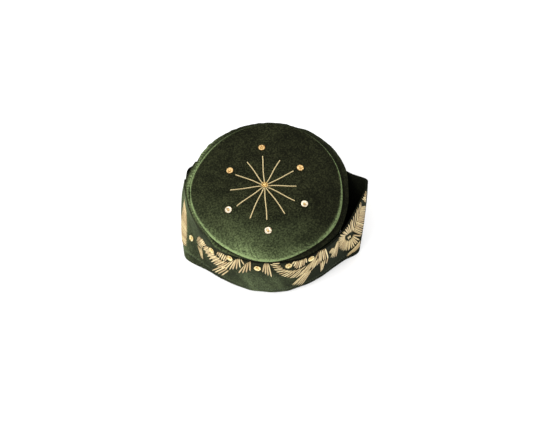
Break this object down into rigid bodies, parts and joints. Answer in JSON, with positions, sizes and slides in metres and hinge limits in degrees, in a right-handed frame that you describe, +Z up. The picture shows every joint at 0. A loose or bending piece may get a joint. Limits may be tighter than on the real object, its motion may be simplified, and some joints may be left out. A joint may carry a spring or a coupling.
{
  "type": "fila cap",
  "caption": "Soft round velvet cap with a domed tip, a rolled side and a stiff turned-up cuff folded into an ear at each side, sewn with gold sequins",
  "frame": {"origin": "on the plane the open edge rests on, below the middle of the whole cap", "axes": "+Z up through the tip, +X towards the larger ear on the wearer's side seen at the right, +Y towards the back"},
  "size_m": [0.2248, 0.1842, 0.112],
  "materials": {
    "velvet": "dark green cotton velvet",
    "cuff_velvet": "dark green cotton velvet over stiff cloth",
    "gold_bead": "polished gilt",
    "sequin": "pale gold gloss"
  },
  "bodies": {
    "root": {"crown_tip": "velvet", "crown_side": "velvet", "cuff": "cuff_velvet", "star_bead": "gold_bead", "tip_sequin_1": "sequin", "tip_sequin_2": "sequin", "tip_sequin_3": "sequin", "tip_sequin_4": "sequin", "tip_sequin_5": "sequin", "tip_sequin_6": "sequin", "cuff_sequin_1": "sequin", "cuff_sequin_2": "sequin", "cuff_sequin_3": "sequin", "cuff_sequin_4": "sequin", "cuff_sequin_5": "sequin", "cuff_sequin_6": "sequin", "cuff_sequin_7": "sequin", "cuff_sequin_8": "sequin", "cuff_sequin_9": "sequin", "cuff_sequin_10": "sequin", "cuff_sequin_11": "sequin"}
  },
  "joints": []
}
